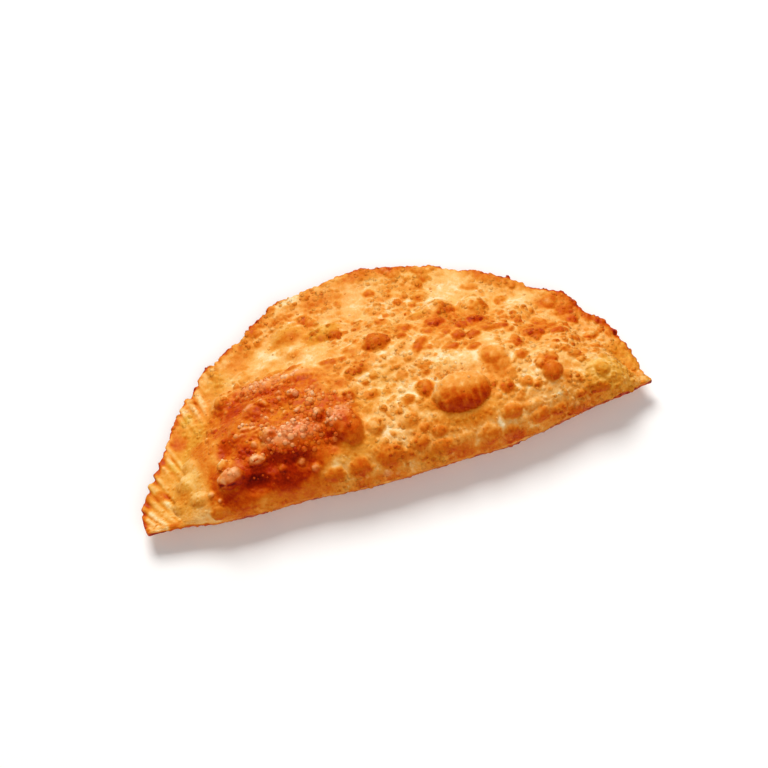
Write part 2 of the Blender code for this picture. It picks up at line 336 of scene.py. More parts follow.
# Crimps: fork marks run across the pressed margin. They are long and deep at the left end, where
# the flat of the dough is widest, and hardly show along the rest of the rim.
PLAIN_MARK_LENGTH = 2.5
PLAIN_MARK_DEPTH = 0.06
CRIMPS = (                # along the rim, half width, length of the marks, depth
    (274, 9, 15, 0.44), (255.5, 5.5, 14, 0.38), (231, 9, 11, 0.36),
    (210, 8, 3.5, 0.12), (40, 20, 2, 0.08),
)
mark_length = np.full_like(rim_place, PLAIN_MARK_LENGTH)
mark_depth = np.full_like(rim_place, PLAIN_MARK_DEPTH)
for place, half_width, length, depth in CRIMPS:
    stretch = bell(rim_place, place, half_width, 4)
    mark_length = paint(mark_length, stretch, length)
    mark_depth = paint(mark_depth, stretch, depth)
mark_length = mark_length[:, None] * (1.0 + 0.35 * noise(sheet[:, :1], 3.1, 3))
mark_depth = mark_depth[:, None] * (0.9 + 0.9 * noise(sheet, 5.0, 4))
in_mark = smooth_step(mark_length - from_edge, -6.0, 4.0) * np.where(is_top, 1.0, 0.5)
ridges = 1.0 - 2.0 * (0.5 - 0.5 * np.cos(tooth_phase)[:, None]) ** 1.4
crust = raised(crust, mark_depth * ridges * in_mark * tip_fade)

# Browning goes from 0, cream, over orange to 1, nearly black, and hue from -1, rosy, to 1, golden.
# These rows say where the sheet as a whole fried darker or stayed paler: browning, hue and
# softness of the edge. Some rows are painted shade and painted highlights instead, as said below.
PATCHES = (
    # The dark patch, from the whole of it to its palest crests and its darkest hollows. The pale rosy
    # crests are partly a painted sheen, and the darkest hollows partly painted shade.
    (-45, 22, 30, 26, 0.52, 0.15, 0.4), (-58, 38, 12, 10, 0.5, 0.15, 0.6),
    (-20, 16, 10, 12, 0.58, 0, 0.3), (-56, 3, 20, 8.5, 0.7, 0, 0.5), (-40, 1, 15, 7, 0.68, 0, 0.6),
    (-69, 3, 6.5, 8, 0.64, 0, 0.6), (-64, -4, 9, 3, 0.66, 0, 0.8), (-38, -5.5, 24, 3, 0.5, 0.2, 0.7),
    (-70.5, 32, 4, 13, 0.44, 0.15, 0.6, -12), (-73, 12, 6, 12, 0.42, 0.2, 0.8),
    (-46, 45, 16, 5, 0.32, -0.5, 0.8, -12), (-30, 42.5, 9, 4, 0.32, -0.5, 0.8, -20),
    (-39, 13.5, 13, 6, 0.37, -0.9, 0.7, 5), (-19, 16, 6.5, 3.5, 0.34, -1, 0.7, 35),
    (-45, 37.5, 8, 2.5, 0.64, 0.1, 0.8), (-31, 38, 5, 3.5, 0.52, 0.2, 0.8),
    (-60, 33, 5, 5, 0.59, 0, 0.8), (-52, 33, 3.5, 2.5, 0.36, -0.9, 0.8, -30),
    (-55, 22.5, 5, 3, 0.46, 0, 0.8, -10), (-42, 27, 7, 4.5, 0.44, 0.4, 0.8, -10),
    (-14, 0.5, 12, 6, 0.36, 0.3, 0.7), (-58, 12.5, 4.5, 4, 0.7, 0, 0.8),
    (-53, 4.5, 7, 5, 0.74, 0, 0.7), (-65, 16.5, 4.5, 4.5, 0.66, 0, 0.7),
    (-44, -1, 8, 4, 0.72, 0, 0.7), (-37, 3.5, 6, 4, 0.66, 0, 0.7), (-48, 8.5, 5, 3.5, 0.7, 0, 0.7),
    (-68, -1, 8, 3.5, 0.72, 0, 0.8), (-57.5, 37, 4, 6, 0.61, 0, 0.7),
    (-48.5, 25.5, 5, 4.5, 0.6, 0, 0.7), (-38, 35.5, 7, 3, 0.62, 0, 0.7, -10),
    (-22.5, 7, 4.5, 4.5, 0.66, 0, 0.7), (-27, 34, 6, 5, 0.54, 0, 0.7), (-59, 22, 6, 5, 0.56, 0, 0.8),
    # The left end and the left part of the rim. The palest spots at (-81, 13) and (-81, 3) are
    # painted highlights on the tops of swellings.
    (-87, 12, 14, 15, 0.22, 0.42, 0.5, 30), (-78, 32, 7, 15, 0.26, 0.55, 0.5, -35),
    (-76, 26, 4, 5, 0.43, 0.2, 0.7, -20), (-82, 33.5, 4.5, 4, 0.47, 0.1, 0.7),
    (-81, 13, 4.5, 5, 0.17, 0.5, 0.8), (-76.5, 43, 5, 3, 0.2, 0.8, 0.8, 40),
    (-86.5, 24, 4, 2.5, 0.2, 0.8, 0.8, -40), (-81, 3, 4, 2.5, 0.22, 0.35, 0.8),
    (-85, 7.5, 4, 3, 0.31, 0.35, 0.8), (-93, 13, 4, 2.5, 0.48, 0.2, 0.8, -20),
    (-73.5, 18, 3.5, 12, 0.45, 0.1, 0.8, 8), (-70.5, 6, 3.5, 9, 0.62, 0, 0.6),
    (-48, 67, 8, 5, 0.32, 0.2, 0.7, 25), (-53, 61, 6, 5, 0.34, 0, 0.7),
    (-38, 60.5, 10, 6.5, 0.02, 0.3, 0.8, 20), (-62, 56, 9, 7, 0.3, 0.5, 0.8, 40),
    (-12, 80, 12, 6, 0.36, 0.1, 0.8, 10), (-30, 76, 9, 4, 0.36, 0.1, 0.8, 25),
    (-29.5, 67, 9, 6.5, 0.24, 0.35, 0.5), (-31, 64, 8, 2.5, 0.3, 0.25, 0.7, 8),
    (-16, 61.5, 9, 6.5, 0.28, 0.5, 0.5), (-17, 57.5, 8, 2.5, 0.4, 0.5, 0.7),
    # The middle and the right: orange zones first, then the pale ones between them. The rows at (39,
    # 2), (26, 1), (27, 4) and (15.5, 10.5) are painted shadow below and beside the largest bubble.
    (28, -3, 58, 9, 0.3, 0, 0.7, 2), (-16, 2, 8, 4.5, 0.36, 0.4, 0.8), (39, 2, 6, 5, 0.34, 0.2, 0.7),
    (12, -8, 9, 2.5, 0.42, 0.4, 0.8, -4), (-9, 17, 6, 5, 0.34, 0.3, 0.8),
    (14, 1.5, 6, 3, 0.38, 0.1, 0.8, -10), (2, 86, 9, 2.5, 0.42, 0.1, 0.8, 8),
    (17, 85, 6, 2.5, 0.5, 0, 0.8, -6), (22, 55, 5, 3.5, 0.42, 0.4, 0.8, -10),
    (30, 46, 11, 6, 0.44, 0.1, 0.7, -5), (44, 43, 9, 6, 0.42, 0.1, 0.7, -5),
    (35, 54, 5, 4.5, 0.44, 0.3, 0.7), (66, 33, 10, 5.5, 0.44, 0.1, 0.7),
    (79, 40, 6, 9, 0.46, 0, 0.8, 20), (72, 47, 5, 4, 0.46, 0.1, 0.8, -30),
    (12, 50, 12, 6, 0.32, 0.2, 0.7), (20, 75, 13, 5, 0.24, 0.2, 0.7, -15),
    (-16, 39, 8, 5, 0.34, 0.1, 0.7), (-3, 38, 7, 6, 0.34, 0, 0.7),
    (-15, 30.5, 6, 4.5, 0.4, 0.1, 0.8), (43, 12, 6, 9, 0.32, 0.1, 0.6),
    (-18, -8, 6, 2.5, 0.5, 0.1, 0.7), (-7, -8.3, 7, 2.5, 0.5, 0.1, 0.7),
    # Painted shadow below the largest bubble, and beside it at (15.5, 10.5).
    (32, -9, 5, 2.5, 0.58, 0, 0.7), (26, 1, 11, 3.5, 0.47, 0.3, 0.8, -2),
    (27, 4, 14, 6, 0.42, 0.35, 0.5), (15.5, 10.5, 5, 4.5, 0.42, 0.3, 0.8),
    (-26, 3.5, 6, 4, 0.58, 0.1, 0.8), (-19, 2.5, 5, 3.5, 0.44, 0.3, 0.8),
    (-22, -1, 5, 2.5, 0.33, 0.3, 0.8), (-12, 3, 7, 4, 0.36, 0.3, 0.8),
    (45, 20, 7, 6.5, 0.34, 0, 0.8), (76, -1, 8, 5, 0.36, 0.4, 0.8), (46, 11.5, 7, 4, 0.42, 0.2, 0.8),
    (85, 5, 13, 9, 0.24, 0.55, 0.6, -20), (85, -3, 9, 4, 0.36, 0.5, 0.7),
    (67, -4.5, 15, 3.5, 0.46, 0.1, 0.7, 8), (94, 14, 6, 10, 0.35, 0.5, 0.7, 20),
    (98, 1, 3.5, 3, 0.16, 0.4, 0.8), (43, -9.5, 9, 2.5, 0.66, 0, 0.6, -8),
    (22, -9.5, 7, 2.5, 0.56, 0.1, 0.6, -5), (30, 25.5, 12, 5, 0.08, 0.25, 0.5, -12),
    (13.5, 24, 2.5, 6, 0.1, 0.1, 0.7), (6, 35.5, 8, 2.5, 0.1, 0, 0.7, 12),
    (1.5, 4.5, 3, 6, 0.16, 0, 0.7), (5.5, 70.5, 10, 2.5, 0.14, 0, 0.7, -10),
    (17, 67, 6, 4, 0.11, 0.1, 0.7), (34, 76, 8, 5, 0.2, 0.3, 0.7, -20),
    (43, 61, 7, 4, 0.17, 0.3, 0.6, -10), (68, 54, 7, 4, 0.13, 0.3, 0.7, -30),
    (45, 32.5, 6, 2, 0.09, 0.1, 0.7, 10), (68, 23.5, 7, 3, 0.19, 0, 0.7, 5),
    # The pale spots at (63, 1) and (38.5, -4.5) are partly painted highlights.
    (63, 1, 4, 2.5, 0.18, 0.1, 0.7), (80.5, 12, 6, 3, 0.16, 0.2, 0.7),
    (38.5, -4.5, 1.6, 2.4, 0.04, 0, 0.7),
)
PLAIN_BROWNING = 0.15
DARK_FROM = 0.40
DARK_TO = 0.54
ROSY_SHEEN = -0.8               # the hue of a blister paler than what it stands in, partly a painted pinkish highlight
BURNT = 0.80
browning = 0.18 + clouds(sheet, (0.06, 21.0, 21), (0.09, 8.0, 22), (0.08, 3.5, 23))
browned_more = browning - PLAIN_BROWNING
hue = 0.15 + clouds(sheet, (0.15, 24.0, 24), (0.15, 9.0, 25))
rough_edge = clouds(sheet, (0.13, 4.0, 26), (0.08, 1.7, 27))
for x, y, length, width, tone, own_hue, softness, *turn in PATCHES:
    far = reach(crust, x, y, length, width, *turn, draped=1.0) + rough_edge
    inside = smooth_fall(far, 1.0 - softness, 1.0 + 0.3 * softness) * upper_side
    browning = paint(browning, inside, tone + 0.6 * browned_more)
    hue = paint(hue, inside, own_hue)
in_dark = smooth_step(browning, DARK_FROM, DARK_TO)

# The small blisters, in three sizes. They are highest where the dough is lively, and missing
# where it stays smooth: these rows give how calm it is.
CALM = (
    (-42, 16, 28, 27, 0.6), (-54, 0, 20, 8, 0.9), (-84, 14, 18, 26, 0.95, 30),
    (84, 4, 9, 6, 0.6, -20), (-38, 60, 16, 9, 0.8, 20), (28, 11, 12, 9, 0.8),
    (45, 20.5, 6.5, 6.5, 0.9), (30, 26, 9, 4, 0.3, -10),
)


def pebbles(points, size, seed, smallest, largest):
    """Small domes around random centres, one in each cell of a cubic lattice.

    Every centre draws a radius between the two shares of the cell's size. At a point the domes
    of the nearest 27 cells are (1 - (distance / radius)^2) * radius high and the highest wins.
    Gives that height, how far up its own dome the point is, and a number drawn by the dome.
    """
    drawn = np.random.default_rng(seed).uniform(0.0, 1.0, (32, 32, 32, 5))
    cell = np.floor(points / size).astype(int)
    height, share, luck = np.zeros((3, *points.shape[:-1]))
    for corner in itertools.product((-1, 0, 1), repeat=3):
        near = cell + np.array(corner)
        index = near % 32
        draw = drawn[index[..., 0], index[..., 1], index[..., 2]]
        radius = (smallest + (largest - smallest) * draw[..., 3]) * size
        far = np.linalg.norm(points - (near + draw[..., :3]) * size, axis=-1) / radius
        rise = 1.0 - far ** 2
        better = rise * radius > height
        height = np.where(better, rise * radius, height)
        share = np.where(better, rise, share)
        luck = np.where(better, draw[..., 4], luck)
    return height, share, luck


crinkled = crust + 0.8 * np.stack([noise(crust, 2.6, seed) for seed in (71, 72, 73)], axis=-1)
calm = np.zeros(sheet.shape[:2])
for x, y, length, width, amount, *turn in CALM:
    far = reach(crust, x, y, length, width, *turn)
    calm = np.maximum(calm, amount * smooth_fall(far, 0.7, 1.2))
lively = (1.0 - calm) * smooth_step(noise(sheet, 11.0, 41), -0.8, 0.1)
right_lip = smooth_fall(rim_place, 50.0, 75.0)[:, None] * smooth_fall(from_edge, 6.0, 12.0)
lively = np.maximum(lively, 0.85 * right_lip)
dome = np.zeros(sheet.shape[:2])
for size, seed, smallest, largest, steep, palest, brownest in (
    (7.0, 51, 0.20, 0.44, 0.50, 0.26, 0.56),
    (4.4, 52, 0.26, 0.54, 0.60, 0.24, 0.56),
    (2.8, 53, 0.28, 0.64, 0.60, 0.16, 0.46),
):
    height, share, luck = pebbles(crinkled, size, seed, smallest, largest)
    dome = np.maximum(dome, steep * height * lively * (0.5 + 0.5 * luck))
    covered = smooth_step(share, 0.0, 0.5) * lively * upper_side
    # A pebble is painted paler towards its top: a painted highlight. In the dark patch a pebble paler
    # than the dough around it turns rosy, palest at its top: partly its own skin, partly a painted
    # pinkish highlight.
    own_tone = palest + (brownest - palest) * luck - 0.06 * share
    darker = in_dark * (browning > own_tone + 0.1)
    hue = paint(hue, 0.8 * covered * share * darker, ROSY_SHEEN)
    browning = browning - 0.20 * covered * share * darker
    browning = paint(browning, 0.75 * covered * (browning < own_tone), own_tone)

# The larger blisters, placed one by one. Each rises as (1 - far^2)^p inside its edge, and the
# higher of two wins. The taller it is, the smaller p and the steeper its edge. These rows give
# the height and the browning.
BLISTERS = (
    # Right of the middle: the largest bubble and what surrounds it.
    (27.8, 11.4, 11.4, 8, 5, 0.34), (15, 17.5, 3.8, 4.2, 1.6, 0.68), (8, 14.5, 3, 2.4, 1, 0.56),
    (8.7, 25.5, 2.6, 2.2, 0.7, 0.42), (17.5, 27.6, 2.8, 2.3, 0.8, 0.36),
    (44, 23, 5.8, 5, 1.1, 0.38, -30), (45.8, 16.8, 3.4, 4.8, 0.7, 0.42, 10),
    (45, 8, 3, 2.8, 1, 0.56), (52.5, 7.5, 2.8, 2, 0.8, 0.54), (56, 5.5, 2.8, 2, 0.8, 0.48),
    # Along the fold, from the middle to the right.
    (5.2, 6.3, 4.2, 3.6, 1.4, 0.36), (-7, 8.2, 4.2, 4, 1.5, 0.4), (15.5, -1, 3.2, 2.4, 1, 0.5),
    (6.5, -2.5, 4.2, 3.2, 1.2, 0.46), (24, -5.5, 4.2, 3.2, 1.2, 0.4), (15.5, -6, 4.8, 3.8, 1.5, 0.6),
    (33.5, -6, 4.4, 4, 1.6, 0.54), (42, -7, 3.4, 3, 1.2, 0.58), (44, -1.5, 4.4, 3, 1.4, 0.58),
    (47, -5, 2.3, 1.7, 0.7, 0.4), (50, -7.5, 2.8, 2.4, 1, 0.58), (52.5, -1, 4.6, 2.4, 0.9, 0.42),
    (54, -4.5, 4.4, 3.4, 1.5, 0.6), (61.5, -4, 3.4, 3, 1.3, 0.58), (68.5, -4, 4, 3.4, 1.4, 0.62),
    (71, -1, 2.4, 1.6, 0.8, 0.54), (79.5, -1.5, 3.6, 2, 0.9, 0.58), (-5, -3.5, 6, 5, 1.3, 0.62),
    (1.5, -4.5, 3.2, 2.8, 0.9, 0.54), (-17.5, -4.5, 4.8, 4, 1.4, 0.66),
    (-27, -4, 4.4, 3.2, 1.1, 0.6),
    # The right end.
    (60.5, 13.5, 2.6, 3.6, 1.3, 0.54), (64.5, 14.5, 3.2, 2.6, 1.2, 0.46),
    (63.5, 8.8, 4.4, 4.4, 1.8, 0.56), (67.8, 6.5, 2.6, 2.6, 0.9, 0.36), (71.5, 18, 3.4, 2, 0.8, 0.4),
    (71.5, 4.5, 2.2, 2.6, 0.7, 0.38), (81.8, 4.5, 3, 3.4, 1, 0.46), (55, 27.5, 2.6, 3.8, 1.1, 0.5),
    (54.6, 20.6, 3.2, 2.4, 1, 0.56), (62.5, 31, 5.4, 3.2, 1.5, 0.54),
    (73, 30, 4.8, 2.4, 1.2, 0.5, 5), (77, 24.5, 4.6, 2.4, 1, 0.52), (84, 27, 4, 2.4, 1, 0.46),
    (80, 36.5, 2.4, 2, 0.8, 0.66),
    # The upper middle, near the rim.
    (27.5, 48.5, 4.5, 3.4, 1.3, 0.54), (30.5, 40.5, 2, 1.8, 0.7, 0.56),
    (36.5, 43.5, 3, 3.2, 1, 0.54), (34.5, 38, 3.4, 2.8, 1.2, 0.55), (43.5, 46, 4, 2.8, 1.3, 0.52),
    (46.6, 39, 4.4, 2.8, 1.4, 0.54), (40.2, 36.5, 3.4, 2.6, 1, 0.56),
    (38.5, 29.6, 2.8, 1.9, 0.7, 0.5), (30, 32.5, 3.4, 2, 0.8, 0.5), (19, 38, 2.6, 6, 0.9, 0.54, -38),
    (15, 49, 3.8, 3, 1.2, 0.54), (23.5, 55, 5, 3.2, 1.1, 0.44), (23.5, 44, 2.8, 2, 0.8, 0.46),
    (26, 67, 4.2, 3.6, 1.2, 0.4), (46, 66, 4.5, 1.8, 0.6, 0.4, -20), (52, 38.2, 3.4, 2, 1, 0.54),
    (54, 35, 2, 1.8, 0.6, 0.44), (58.8, 39, 1.8, 1.4, 0.6, 0.58), (58.5, 44.5, 1.6, 1.6, 0.6, 0.48),
    (56, 54.5, 2.8, 2.8, 1, 0.44), (66.5, 38, 3.8, 2.6, 0.7, 0.44), (73.8, 47, 2.8, 3.6, 0.7, 0.38),
    (2.8, 45.2, 6.2, 4.8, 1.6, 0.54), (-6.5, 34.5, 5, 3.2, 1.2, 0.54),
    (-5.5, 21.5, 4.8, 2.2, 0.8, 0.46), (-6.5, 45.5, 4.4, 3.6, 0.8, 0.38), (8, 57, 3, 2.4, 0.8, 0.46),
    (8, 65, 3.2, 3.8, 0.9, 0.36), (12, 72, 3.8, 3, 0.8, 0.34), (7, 76, 2.8, 2.6, 0.9, 0.44),
    (-2.5, 58, 2.2, 2, 0.7, 0.34), (-11.5, 57.3, 3.4, 3.2, 1.3, 0.54),
    (-22, 72.5, 3.4, 2.8, 1, 0.54), (-25.6, 71.4, 1.8, 1.8, 0.8, 0.28),
    (-15.5, 42, 6, 2, 0.8, 0.52, -8), (-33, 59, 3, 2.8, 0.5, 0.22),
    # The dark patch on the left. Its bubbles are paler than the dough around them, with rosy tops:
    # partly their own skin, partly a painted highlight.
    (-16.5, 10, 6, 8.5, 1.8, 0.6, 15), (-13, 24.6, 3.2, 3, 1.5, 0.38),
    (-34.2, 31.4, 2.6, 2.5, 1.6, 0.3), (-38.7, 34, 1.6, 1.6, 1, 0.44),
    (-26.8, 28.5, 1.7, 2.1, 1.1, 0.4), (-28.5, 24.8, 2.4, 1.4, 1, 0.4, 10),
    (-26.2, 18.2, 2.7, 2.3, 1.7, 0.42), (-22.7, 17.6, 1.9, 1.9, 1.4, 0.42),
    (-33.8, 23.3, 2.3, 1.2, 1, 0.38, 20), (-38.4, 23.7, 1.3, 1.3, 0.9, 0.4),
    (-45.5, 24.3, 0.9, 0.9, 0.7, 0.32), (-46.8, 16.4, 4.2, 3.6, 2.2, 0.46),
    (-37, 16.5, 2.6, 1.8, 1.2, 0.38, 10), (-40, 13, 2.2, 1.7, 1.1, 0.4),
    (-34, 13.5, 1.6, 1.4, 0.9, 0.36), (-55, 24.6, 4.6, 0.7, 0.6, 0.34, -12),
    (-54.5, 22.6, 4.2, 0.6, 0.6, 0.34, -8), (-56.5, 20.6, 3.6, 0.6, 0.5, 0.38, -4),
    (-50, 20.5, 3.4, 0.7, 0.6, 0.38, 25), (-52.8, 14.5, 1.6, 1.6, 1.1, 0.36),
    (-54, 8.6, 3.7, 2.4, 2.2, 0.32), (-66.8, 12, 2.9, 2.6, 1.6, 0.4),
    (-65.6, 4.9, 5.6, 3.8, 2.3, 0.48, 14), (-68, 4.8, 3, 2.6, 2.2, 0.46),
    (-63.6, 5.8, 3.3, 2.8, 2.5, 0.44, 30), (-46.8, 32, 3.4, 1.5, 0.8, 0.42, -30),
    (-61.5, 44.5, 3.5, 3.3, 1.4, 0.32), (-55, 43, 1, 1, 0.7, 0.36), (-66.8, 31.5, 1.9, 1.9, 1, 0.38),
    (-63.5, 31, 2.2, 0.9, 0.6, 0.42), (-70.2, 28.5, 1.2, 1.2, 0.8, 0.36),
    (-55.5, 23, 2.6, 1, 0.7, 0.42), (-31.8, 16.8, 2.2, 1.4, 1, 0.42),
    (-23.5, 13.8, 2.8, 1.4, 1, 0.4, 20), (-28, 13, 2, 1.6, 1, 0.38), (-38, 3, 1.7, 2, 1.2, 0.46),
    (-33.8, -0.3, 1.9, 1.5, 1, 0.42), (-45, 2.6, 1.8, 1.6, 0.8, 0.58),
    (-31, 47.5, 5.5, 1.6, 0.7, 0.5, -12), (-74.2, 3.5, 1.3, 1.3, 0.9, 0.34),
    (-71.5, 0, 1.1, 1.1, 0.7, 0.42), (-73.5, -3.3, 3.4, 2.8, 0.9, 0.6),
)
# Holes where a blister burst, with their depth.
HOLES = (
    (-68.2, 3.6, 1.8, 0.6, 0.8, -18), (-64.8, 2.5, 1.9, 0.6, 0.8, 4), (-66.4, 3, 1, 0.5, 0.5),
    (-54, 8, 1.2, 0.35, 0.5, 8), (-45.8, 14.2, 1.5, 1, 0.3), (-38, 13.6, 1.8, 0.7, 0.5),
    (-13.2, 24, 0.6, 0.6, 0.5), (-12, 23.4, 0.5, 0.5, 0.4), (-19, 16.6, 0.5, 0.5, 0.4),
    (-16.6, 18.4, 0.5, 0.5, 0.4), (-14.2, 17, 0.5, 0.5, 0.4), (-27.6, 44.6, 0.6, 0.5, 0.4),
)
BLISTER_RISE = 1.2
blister_edge = clouds(crust, (0.45, 2.2, 28), (0.25, 1.0, 77))
speckle = 0.12 * noise(crust, 1.5, 76)
for x, y, length, width, height, tone, *turn in BLISTERS:
    far = reach(crust, x, y, length, width, *turn)
    far = np.maximum(far + blister_edge / min(length, width), 0.0)
    dome = np.maximum(dome, BLISTER_RISE * height * hump(far) ** (0.9 - 0.07 * height))
    disc = smooth_fall(far, 0.50, 1.15) * upper_side
    # A blister is painted paler towards its top: a painted highlight. In the dark patch one paler
    # than the dough around it turns rosy, partly as a painted pinkish highlight.
    own_tone = tone + 0.03 - 0.12 * hump(far) + 0.8 * browned_more + speckle
    paler = in_dark * np.clip(4.0 * (browning - own_tone), 0.0, 1.0)
    hue = paint(hue, 0.9 * disc * paler, ROSY_SHEEN)
    browning = paint(browning, 0.9 * disc, own_tone)
    browning = browning - 0.05 * bell(far, 1.25, 0.18) * upper_side
dome *= upper_side * tip_fade
for x, y, length, width, depth, *turn in HOLES:
    far = reach(crust, x, y, length, width, *turn, draped=1.0) + 0.5 * noise(crust, 1.3, 29)
    dome -= depth * hump(far) * upper_side
    browning = paint(browning, smooth_fall(far, 0.3, 1.1) * upper_side, BURNT)
crust = raised(crust, dome)

# Fine unevenness of the fried skin, and the small bubbles along the folded side.
grain, _, grain_luck = pebbles(crust, 1.9, 54, 0.25, 0.55)
skin = 0.12 * noise(crust, 2.2, 6) + 0.50 * grain * grain_luck
front = smooth_step(-outwards(sheet)[..., 1], 0.5, 0.9)
near_rim = smooth_fall(from_edge, 3.0, 10.0)
along_fold = smooth_fall(crust[..., 1], 0.0, 9.0) * upper_side * (1.0 - 0.8 * calm)
grits, grit_share, grit_luck = pebbles(crust, 1.35, 55, 0.30, 0.62)
skin += 0.75 * grits * grit_luck * along_fold
browning = browning + 0.16 * (grit_luck - 0.45) * smooth_step(grit_share, 0.0, 0.6) * along_fold
skin += 0.45 * np.maximum(noise(crust, 1.6, 8), 0.0) * np.maximum(front, 0.6 * near_rim * is_top)
crust = raised(crust, skin * tip_fade)

# Blisters and swellings are painted darker on their flank towards the fold and paler on the
# other one: painted shade and light, as from the lamp behind them. Outside the dark patch the
# browning hardly passes a ceiling.
CEILING = 0.53
flank = outwards(sheet)[..., 1] - outwards(crust)[..., 1]
painted_flank_shade = 0.24 - 0.14 * np.clip(-hue, 0.0, 1.0)
browning = browning + painted_flank_shade * np.clip(flank, -0.5, 0.8) * upper_side
ceiling = paint(CEILING, in_dark, 1.0)
browning = np.minimum(browning, ceiling + 0.3 * (browning - ceiling))

# The largest bubble: its front is fried in streaks and darkened further by painted shade, its top is
# paler by painted light where it fades into the pale dough, and pale specks on it are painted
# highlights.
FRONT_BROWNING_AND_SHADE = 0.72
TOP_BROWNING_AND_LIGHT = 0.29
LARGEST_HUE = -0.06
far = reach(crust, *BLISTERS[0][:4], draped=1.0) + 0.2 * rough_edge
streaks = noise(crust * np.array((1.0, 0.3, 0.3)), 1.7, 74)
up_front = crust[..., 1] + 2.4 * streaks + 1.2 * noise(crust, 1.1, 75)
bubble_browning_and_shade = paint(FRONT_BROWNING_AND_SHADE, smooth_step(up_front, 5.0, 13.0), TOP_BROWNING_AND_LIGHT)
bubble_browning_and_shade = bubble_browning_and_shade - 0.20 * np.maximum(noise(crust, 1.3, 78) - 0.2, 0.0)
fading = 0.98 - 0.45 * smooth_step(up_front, 8.0, 15.0)
on_largest = smooth_fall(far, fading, 1.08) * upper_side
browning = paint(browning, on_largest, bubble_browning_and_shade)
hue = paint(hue, on_largest, LARGEST_HUE)

# The rim browns in stretches: along the rim, half width, how far inwards, browning. Its very edge
# and the points of its teeth are darkest. The valleys between the fork marks are darker and their
# ridges paler: partly browning, partly painted shade in the valleys and painted light on the ridges.
RIM_TONES = (
    (10, 12, 2.5, 0.38), (22, 8, 2.5, 0.54), (33, 9, 3.5, 0.76), (45, 6, 3.5, 0.62),
    (54, 6, 5, 0.56), (70, 7, 3, 0.36), (86, 10, 6, 0.46), (124, 9, 4, 0.52),
    (138, 7, 6, 0.42), (158, 8, 4, 0.38), (186, 7, 5, 0.6), (205, 5, 2.5, 0.52),
    (243, 5, 7, 0.5), (262, 7, 3, 0.58), (281, 11, 3.5, 0.68),
)
EDGE_BROWNING = 0.82
inward = from_edge + 1.2 * noise(sheet, 3.0, 30)
broken = np.clip(0.85 + clouds(sheet, (0.5, 3.2, 37), (0.3, 1.4, 38)), 0.0, 1.0)
for place, half_width, deep, tone in RIM_TONES:
    stretch = bell(rim_place, place, half_width, 4)[:, None]
    band = stretch * smooth_fall(inward, 0.4 * deep, 1.3 * deep) * broken
    browning = paint(browning, band * is_top, tone + 0.5 * browned_more)
spots = 0.15 + clouds(sheet, (0.9, 5.0, 31), (0.9, 2.0, 36))
browning = paint(browning, smooth_fall(from_edge, 0.1, 1.5) * spots, EDGE_BROWNING)
# Paler crimp ridges and darker valleys: partly browning, partly painted light and shade.
browning = browning - 0.42 * ridges * in_mark * mark_depth

# The belly lay on the pan: it is even and paler in its middle. The thin dark line at the fold, where
# the crust turns under, is partly browning and partly painted shade.
from_fold = np.linalg.norm(sheet - sheet[:, :1], axis=-1)
belly_tone = 0.34 + 0.12 * smooth_step(from_fold, 4.0, 12.0)
belly_tone = belly_tone + clouds(sheet, (0.12, 9.0, 33), (0.12, 3.0, 34))
browning = paint(browning, 1.0 - upper_side, belly_tone)
from_line = np.linalg.norm(sheet - sheet[:, -3:-2], axis=-1)
# The dark line at the fold: partly browning, partly painted shade.
fold_line = smooth_fall(from_line + 1.2 * noise(sheet, 2.2, 32), 0.6, 2.2)
browning = paint(browning, 0.9 * fold_line, 0.70 + 0.26 * noise(sheet, 4.0, 35))

# The sheet is laid into the solid's place and never leaves its box.
shift = np.array((
    cad_high.x / MM - HALF_LENGTH,
    cad_low.y / MM - fold[:, 1].min() + INSET,
    cad_low.z / MM - FLOOR_LEVEL,
))


def in_box(points):
    """The points in metres in the solid's place, pressed back into its box."""
    return np.clip((points + shift) * MM, np.array(cad_low), np.array(cad_high))


laid_crust = in_box(crust)


def joined(grid):
    """The values of a grid's points in one row, with a single one for each of its two tips."""
    return np.concatenate((grid[0, :1], grid[1:-1].reshape(-1, *grid.shape[2:]), grid[-1, :1]))


def ring_quads(index):
    """Quads between neighbouring rings of point numbers, each ring closed around."""
    beside = np.roll(index, -1, axis=1)
    return np.stack((index[:-1], beside[:-1], beside[1:], index[1:]), axis=-1).reshape(-1, 4)


def fan(tip, ring, turned=1):
    """Triangles from a tip to each side of a ring of point numbers, walked one way or the other."""
    sides = (ring, np.roll(ring, -1))[::turned]
    return np.stack((np.full_like(ring, tip), *sides), axis=-1)


def corners(*places):
    """UV places of face corners, each given as its u and v."""
    pairs = [np.stack(np.broadcast_arrays(u, v), axis=-1) for u, v in places]
    return np.stack(pairs, axis=-2).reshape(-1, 2)


def sheet_faces(count, around):
    """Faces and corner UVs of a grid that is drawn to a point at both ends.

    Every column between the two tips is a closed ring, joined to the next one by quads and to
    the tips by fans of triangles. U runs from tip to tip and V around.
    """
    index = 1 + np.arange(count * around).reshape(count, around)
    fans = np.concatenate((fan(0, index[0], -1), fan(count * around + 1, index[-1])))
    u = np.linspace(0.0, 1.0, count)[:, None]
    v = np.arange(around) / around
    beside = v + 1.0 / around
    between = v + 0.5 / around
    uv = np.concatenate((
        corners((u[:-1], v), (u[:-1], beside), (u[1:], beside), (u[1:], v)),
        corners((0.0, between), (0.0, beside), (0.0, v)),
        corners((1.0, between), (1.0, v), (1.0, beside)),
    ))
    return ring_quads(index).tolist() + fans.tolist(), uv


def srgb(red, green, blue):
    """A colour given by bytes from 0 to 255, as linear light with full alpha."""
    share = np.array((red, green, blue)) / 255.0
    linear = np.where(share <= 0.04045, share / 12.92, ((share + 0.055) / 1.055) ** 2.4)
    return (*linear.tolist(), 1.0)


def feed(node, inputs):
    """Gives the inputs of a shader node their values or links."""
    for name, value in inputs.items():
        if isinstance(value, Wire):
            value.tree.links.new(value.socket, node.inputs[name])
        else:
            node.inputs[name].default_value = value


